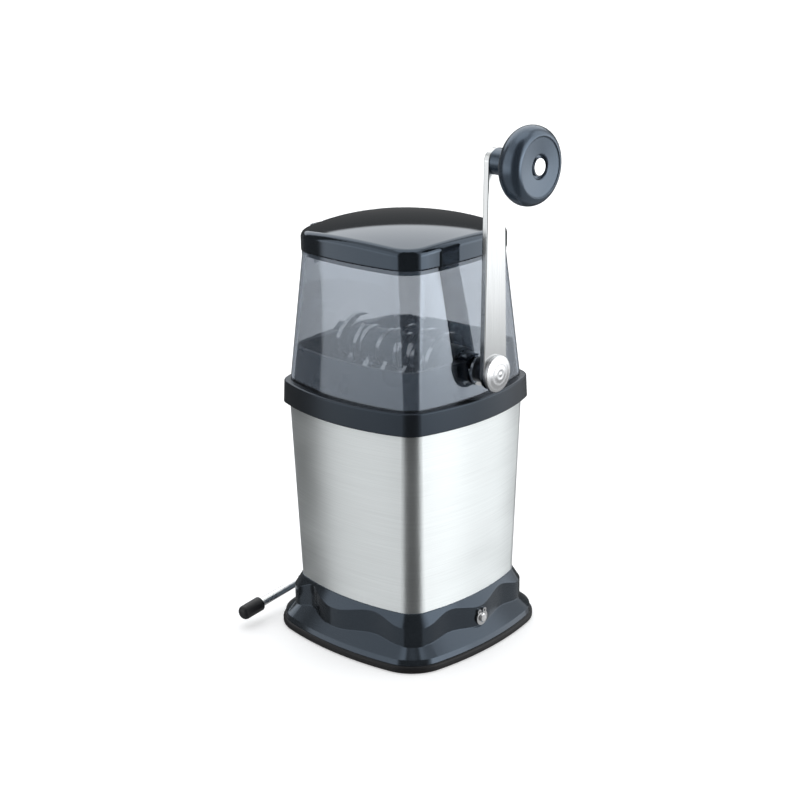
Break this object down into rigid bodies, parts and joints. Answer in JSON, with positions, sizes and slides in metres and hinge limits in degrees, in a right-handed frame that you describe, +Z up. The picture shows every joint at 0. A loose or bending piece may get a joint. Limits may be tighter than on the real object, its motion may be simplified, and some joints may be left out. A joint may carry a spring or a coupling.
{
  "type": "hand cranked ice crusher",
  "caption": "Tall square ice crusher with brushed steel body, smoked hopper, domed hinged lid, side crank with round knob and a lever-worked suction foot.",
  "frame": {"origin": "on the table, at the middle of the square foot, where the suction cup pulls", "axes": "+Z up, +X towards the crank, -Y towards the suction lever's grip at rest"},
  "size_m": [0.1597, 0.1374, 0.2966],
  "materials": {
    "foot_rubber": "matte",
    "cup_rubber": "matte",
    "base_plastic": "gloss",
    "collar_plastic": "satin",
    "lid_plastic": "gloss",
    "knob_plastic": "satin gloss",
    "smoke_plastic": "clear smoke tint",
    "trough_plastic": "satin",
    "bin_plastic": "satin",
    "bearing_plastic": "matte",
    "brushed_steel": "brushed",
    "blade_steel": "ground",
    "bright_chrome": "polished",
    "plain_steel": "plain"
  },
  "bodies": {
    "base": {"rubber_foot": "foot_rubber", "suction_cup": "cup_rubber", "base_housing": "base_plastic", "base_screws": "plain_steel", "axle_clip": "bright_chrome", "steel_body": "brushed_steel", "ice_bin": "bin_plastic"},
    "lever": {"lever_rod": "bright_chrome", "lever_grip": "foot_rubber", "lever_cam": "bearing_plastic"},
    "puller": {"pull_yoke": "bearing_plastic", "cup_stud": "plain_steel", "cup_boss": "cup_rubber"},
    "head": {"collar": "collar_plastic", "hopper": "smoke_plastic", "hinge_pin": "bright_chrome", "crusher_trough": "trough_plastic", "trough_screws": "plain_steel", "front_comb": "blade_steel", "rear_comb": "blade_steel", "bush_left": "bearing_plastic", "bush_right": "bearing_plastic"},
    "crank": {"shaft": "plain_steel", "rotor_core": "trough_plastic", "rotor_blades": "blade_steel", "crank_washer": "bright_chrome", "crank_spacer": "bearing_plastic", "crank_arm": "bright_chrome", "hub_screw": "bright_chrome", "knob_pin": "bright_chrome"},
    "knob": {"knob": "knob_plastic"},
    "lid": {"lid": "lid_plastic"}
  },
  "joints": [
    {"name": "lever_turn", "type": "hinge", "parent": "base", "child": "lever", "pos_m": [0, 0, 0.0172], "axis": [-1, 0, 0], "range_deg": [0, 166]},
    {"name": "suction_pull", "type": "slide", "parent": "base", "child": "puller", "axis": [0, 0, 1], "range_m": [0, 0.00296], "stiffness_N_per_m": 1.6, "springref_m": 0.03, "deforming": ["suction_cup"]},
    {"name": "head_lift", "type": "slide", "parent": "base", "child": "head", "axis": [0, 0, 1], "range_m": [0, 0.03]},
    {"name": "crank_turn", "type": "hinge", "parent": "head", "child": "crank", "pos_m": [0, 0, 0.1627], "axis": [1, 0, 0], "continuous": true},
    {"name": "knob_spin", "type": "hinge", "parent": "crank", "child": "knob", "pos_m": [0.093, 0, 0.276], "axis": [1, 0, 0], "continuous": true},
    {"name": "lid_hinge", "type": "hinge", "parent": "head", "child": "lid", "pos_m": [-0.0454, 0, 0.229], "axis": [0, -1, 0], "range_deg": [0, 105]}
  ],
  "couplings": [
    {"joint": "suction_pull", "follows": "lever_turn", "m_per_rad": 0.0010201}
  ]
}
